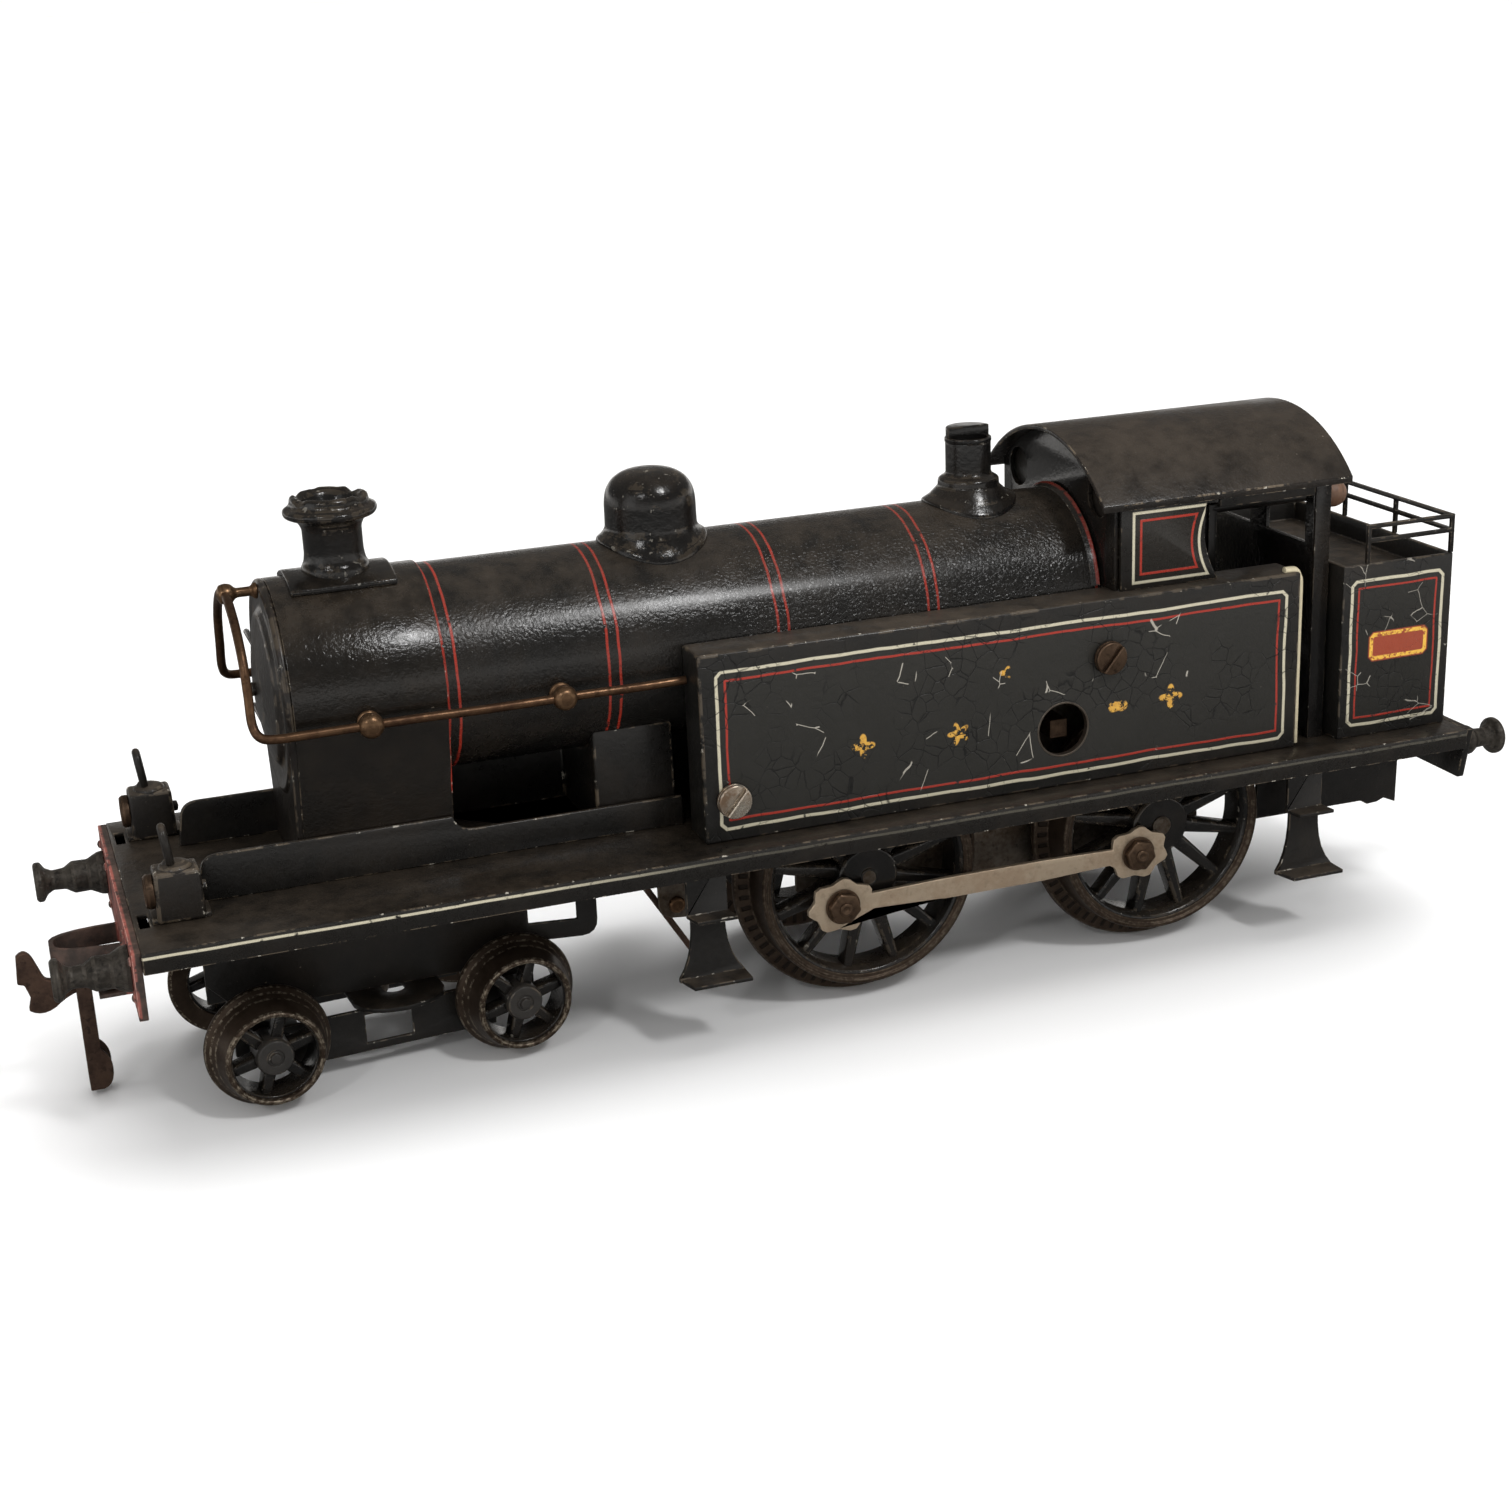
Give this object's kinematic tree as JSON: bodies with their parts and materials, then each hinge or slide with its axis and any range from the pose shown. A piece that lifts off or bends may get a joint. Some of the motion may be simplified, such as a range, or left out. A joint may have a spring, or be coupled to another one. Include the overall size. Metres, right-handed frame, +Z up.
{
  "type": "clockwork toy tank locomotive",
  "caption": "Toy tank locomotive with a leading bogie, coupled spoked drivers, side tanks, arched cab roof, bunker with rails, and a clockwork motor wound through the tank side.",
  "frame": {"origin": "centre of the bounding box's bottom face: under the middle of the engine's length, on the rail plane", "axes": "+X forward, towards the chimney and the coupling hook; +Y the engine's left side, with the winding hole; +Z up"},
  "size_m": [0.3764, 0.0876, 0.1341],
  "materials": {
    "black_enamel": "semi-gloss hand-brushed black enamel over tinplate, dusty on top",
    "panel_enamel": "charcoal enamel with cream and red lining, finely cracked",
    "beam_red": "worn matt red enamel on the front beam's face",
    "cast_grey": "dark pitted casting",
    "wheel_iron": "black spoked centre with a dull brown worn tyre",
    "tarnished_nickel": "tan tarnished nickel plate",
    "tarnished_brass": "tarnished copper-brown brass",
    "dark_bronze": "dark bronze-brown patina",
    "motor_steel": "dull brown-grey steel",
    "rusty_iron": "rust-brown bare iron",
    "spring_steel": "blued spring steel"
  },
  "bodies": {
    "frame": {"footplate": "black_enamel", "front_buffer_beam": "beam_red", "rear_buffer_beam": "black_enamel", "front_buffer_left": "cast_grey", "front_buffer_right": "cast_grey", "rear_buffer_left": "cast_grey", "rear_buffer_right": "cast_grey", "front_lamp_left": "black_enamel", "front_lamp_right": "black_enamel", "deck_frame_left": "black_enamel", "deck_frame_right": "black_enamel", "smokebox_saddle": "black_enamel", "boiler_barrel": "black_enamel", "smokebox_wrapper": "black_enamel", "smokebox_front": "black_enamel", "chimney": "black_enamel", "dome": "black_enamel", "safety_valve": "black_enamel", "boiler_box": "black_enamel", "handrail": "tarnished_brass", "side_tank_left": "panel_enamel", "side_tank_right": "panel_enamel", "front_tank_screw_left": "tarnished_nickel", "front_tank_screw_right": "tarnished_nickel", "rear_tank_screw_left": "dark_bronze", "rear_tank_screw_right": "dark_bronze", "cab_front_sheet": "black_enamel", "cab_roof": "black_enamel", "cab_back_sheet": "black_enamel", "cab_side_left": "black_enamel", "cab_side_right": "black_enamel", "bunker": "panel_enamel", "coal_rails": "black_enamel", "motor_plate_left": "motor_steel", "motor_plate_right": "motor_steel", "mainspring": "spring_steel", "front_cradle": "black_enamel", "bogie_pivot_screw": "motor_steel", "rear_frame": "black_enamel", "front_step_left": "black_enamel", "front_step_right": "black_enamel", "rear_step_left": "black_enamel", "rear_step_right": "black_enamel"},
    "rear_drivers": {"rear_driving_axle": "motor_steel", "rear_driving_wheel_left": "wheel_iron", "rear_driving_wheel_right": "wheel_iron"},
    "front_drivers": {"front_driving_axle": "motor_steel", "front_driving_wheel_left": "wheel_iron", "front_driving_wheel_right": "wheel_iron"},
    "left_rod": {"coupling_rod_left": "tarnished_nickel"},
    "right_rod": {"coupling_rod_right": "tarnished_nickel"},
    "great_wheel": {"great_wheel": "tarnished_brass"},
    "middle_wheel": {"middle_wheel": "tarnished_brass"},
    "winding_arbor": {"winding_arbor": "motor_steel"},
    "bogie": {"bogie_frame": "black_enamel"},
    "front_bogie_wheels": {"front_bogie_wheelset": "wheel_iron"},
    "rear_bogie_wheels": {"rear_bogie_wheelset": "wheel_iron"},
    "coupling_hook": {"coupling_hook": "rusty_iron"},
    "drop_link": {"drop_link": "rusty_iron"},
    "control_rod": {"control_rod": "dark_bronze"}
  },
  "joints": [
    {"name": "rear_axle_spin", "type": "hinge", "parent": "frame", "child": "rear_drivers", "pos_m": [-0.0891, 0, 0.0322], "axis": [0, 1, 0], "continuous": true},
    {"name": "front_axle_spin", "type": "hinge", "parent": "frame", "child": "front_drivers", "pos_m": [-0.0091, 0, 0.0322], "axis": [0, 1, 0], "continuous": true},
    {"name": "left_rod_pivot", "type": "hinge", "parent": "front_drivers", "child": "left_rod", "pos_m": [-0.00096, 0.0319, 0.02711], "axis": [0, 1, 0], "continuous": true},
    {"name": "right_rod_pivot", "type": "hinge", "parent": "front_drivers", "child": "right_rod", "pos_m": [-0.00401, -0.0319, 0.04034], "axis": [0, 1, 0], "continuous": true},
    {"name": "middle_wheel_spin", "type": "hinge", "parent": "frame", "child": "middle_wheel", "pos_m": [-0.06483, 0, 0.03821], "axis": [0, 1, 0], "continuous": true},
    {"name": "great_wheel_spin", "type": "hinge", "parent": "frame", "child": "great_wheel", "pos_m": [-0.0598, 0.0102, 0.0627], "axis": [0, 1, 0], "continuous": true},
    {"name": "winding_arbor_turn", "type": "hinge", "parent": "frame", "child": "winding_arbor", "pos_m": [-0.0598, 0, 0.0627], "axis": [0, 1, 0], "continuous": true},
    {"name": "bogie_swivel", "type": "hinge", "parent": "frame", "child": "bogie", "pos_m": [0.1089, 0, 0.016], "axis": [0, 0, 1], "range_deg": [-12.5, 3.5]},
    {"name": "front_bogie_spin", "type": "hinge", "parent": "bogie", "child": "front_bogie_wheels", "pos_m": [0.13831, 0.00231, 0.0146], "axis": [-0.0785, 0.9969, 0], "continuous": true},
    {"name": "rear_bogie_spin", "type": "hinge", "parent": "bogie", "child": "rear_bogie_wheels", "pos_m": [0.07949, -0.00231, 0.0146], "axis": [-0.0785, 0.9969, 0], "continuous": true},
    {"name": "hook_swivel", "type": "hinge", "parent": "frame", "child": "coupling_hook", "pos_m": [0.1679, 0, 0.0287], "axis": [0, 0, 1], "range_deg": [-20, 20]},
    {"name": "link_swing", "type": "hinge", "parent": "coupling_hook", "child": "drop_link", "pos_m": [0.1739, 0, 0.0282], "axis": [0, 1, 0], "range_deg": [-8, 15]},
    {"name": "control_rod_slide", "type": "slide", "parent": "frame", "child": "control_rod", "axis": [1, 0, 0], "range_m": [-0.006, 0.006]}
  ],
  "couplings": [
    {"joint": "front_axle_spin", "follows": "rear_axle_spin", "ratio": 1},
    {"joint": "left_rod_pivot", "follows": "rear_axle_spin", "ratio": -1},
    {"joint": "right_rod_pivot", "follows": "rear_axle_spin", "ratio": -1},
    {"joint": "middle_wheel_spin", "follows": "rear_axle_spin", "ratio": -0.53846},
    {"joint": "great_wheel_spin", "follows": "rear_axle_spin", "ratio": 0.13462}
  ]
}
